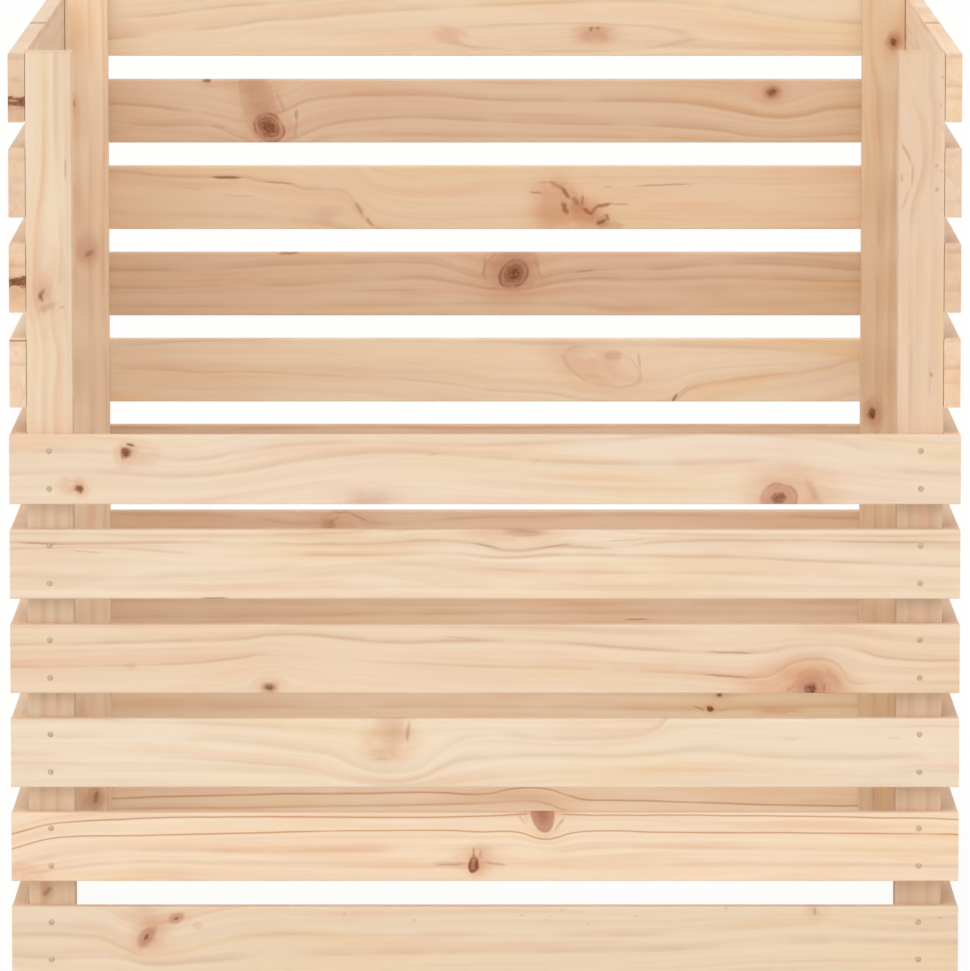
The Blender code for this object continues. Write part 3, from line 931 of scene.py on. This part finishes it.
def add_nail(mesh, place, turn):
    """One wire nail with a slightly domed flat head, a shank and a cut point, driven along the turned +Y."""
    head = NAIL_HEAD_DIAMETER / 2
    shank = NAIL_SHANK_DIAMETER / 2
    top = NAIL_HEAD_BELOW_FACE
    under = top + NAIL_HEAD_THICKNESS
    # The radius and depth of each ring, from the middle of the head to the point
    outline = (
        (0.45 * head, top),
        (0.80 * head, top + 0.00003),
        (0.95 * head, top + 0.00010),
        (head, top + 0.00020),
        (head, under - 0.00008),
        (0.94 * head, under),
        (1.25 * shank, under),
        (shank, under + 0.0008),
        (shank, NAIL_LENGTH - NAIL_POINT),
        (0.25 * shank, NAIL_LENGTH),
    )
    rings = []
    for radius, depth in outline:
        ring = []
        for side in range(NAIL_SIDES):
            angle = math.tau * side / NAIL_SIDES
            corner = Vector((radius * math.cos(angle), depth, radius * math.sin(angle)))
            ring.append(mesh.verts.new(turn @ corner + place))
        rings.append(ring)
    for near, far in zip(rings, rings[1:]):
        for side in range(NAIL_SIDES):
            after = (side + 1) % NAIL_SIDES
            mesh.faces.new((near[side], near[after], far[after], far[side]))
    mesh.faces.new(list(reversed(rings[0])))
    mesh.faces.new(rings[-1])


def nail_slats():
    """Four nails in every slat, one piece for each slat: two at each end, through the slat into its post."""
    steel = nail_steel()
    wall_turns = {"front": 0, "right": 90, "back": 180, "left": 270}
    for name in sorted(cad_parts):
        side = name.split("_")[0]
        if side not in wall_turns:
            continue
        low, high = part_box(name)
        middle = (low + high) / 2
        turn = Matrix.Rotation(math.radians(wall_turns[side]), 3, "Z")
        outward = turn @ Vector((0, -1, 0))
        sideways = turn @ Vector((1, 0, 0))
        reach = abs((high - low).dot(outward)) / 2
        spread = POST_CENTRE_X if side in ("front", "back") else POST_CENTRE_Y
        mesh = bmesh.new()
        for way in (-1, 1):
            for height in (NAIL_FROM_SLAT_EDGE, SLAT_HEIGHT - NAIL_FROM_SLAT_EDGE):
                foot = Vector((middle.x, middle.y, low.z + height))
                add_nail(mesh, foot + outward * reach + sideways * (way * spread), turn)
        bmesh.ops.recalc_face_normals(mesh, faces=mesh.faces)
        data = bpy.data.meshes.new(name + "_nails")
        mesh.to_mesh(data)
        mesh.free()
        data.shade_smooth()
        data.set_sharp_from_angle(angle=math.radians(40))
        data.materials.append(steel)
        nails = add_object(name + "_nails", data)
        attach(nails, "root")


def seen_share(net):
    """1 for what the camera sees, directly or in a gloss, and 0 for the light that falls on the bin."""
    ray = net.add("ShaderNodeLightPath").outputs
    share = net.math("MAXIMUM", ray["Is Camera Ray"], ray["Is Glossy Ray"])
    return net.math("MAXIMUM", share, ray["Is Transmission Ray"])


def white_floor():
    """A plain pale floor that keeps the bin's shadow."""
    half = FLOOR_SIZE / 2
    data = bpy.data.meshes.new("floor")
    corners = [(-half, -half, 0), (half, -half, 0), (half, half, 0), (-half, half, 0)]
    data.from_pydata(corners, [], [(0, 1, 2, 3)])
    floor = add_object("floor", data)
    material = bpy.data.materials.new("floor_white")
    net = bare_net(material)
    grey = (FLOOR_GREY, FLOOR_GREY, FLOOR_GREY, 1.0)
    diffuse = net.add("ShaderNodeBsdfDiffuse", {"Color": grey}).outputs[0]
    white = net.add("ShaderNodeEmission", {"Color": FLOOR_WHITE, "Strength": 1.0}).outputs[0]
    share = net.times(seen_share(net), FLOOR_SHARE_OF_WHITE)
    shown = net.add("ShaderNodeMixShader", {0: share, 1: diffuse, 2: white}).outputs[0]
    net.show(shown)
    data.materials.append(material)


def even_world():
    """White light from all round, brightest from the left and right, and a white background."""
    world = bpy.data.worlds.new("studio")
    bpy.context.scene.world = world
    net = bare_net(world)
    white = (1.0, 1.0, 1.0, 1.0)
    sideways = net.split(net.add("ShaderNodeTexCoord").outputs["Generated"])[0]
    strength = net.plus(WORLD_EVEN, net.times(net.times(sideways, sideways), WORLD_FROM_SIDES))
    light = net.add("ShaderNodeBackground", {"Color": white, "Strength": strength}).outputs[0]
    backdrop = net.add("ShaderNodeBackground", {"Color": white, "Strength": 1.0}).outputs[0]
    shown = net.add("ShaderNodeMixShader", {0: seen_share(net), 1: light, 2: backdrop}).outputs[0]
    net.show(shown, "ShaderNodeOutputWorld")


def key_light():
    """A wide soft light from high in front of the bin, a little from the left."""
    data = bpy.data.lights.new("key_light", "SUN")
    data.energy = KEY_STRENGTH * math.pi
    data.angle = KEY_SPREAD
    lamp = add_object("key_light", data)
    lamp.rotation_euler = (math.pi / 2 - KEY_HEIGHT, 0, KEY_TURN)


def camera():
    data = bpy.data.cameras.new("camera")
    data.lens = CAMERA_LENS
    data.sensor_width = CAMERA_SENSOR
    data.clip_end = CAMERA_REACH
    eye = add_object("camera", data)
    eye.location = CAMERA_PLACE
    eye.rotation_euler = (math.pi / 2 - CAMERA_PITCH, 0, 0)
    bpy.context.scene.camera = eye


dress_timbers()
nail_slats()
white_floor()
even_world()
key_light()
camera()
bpy.context.scene.view_settings.view_transform = "Standard"
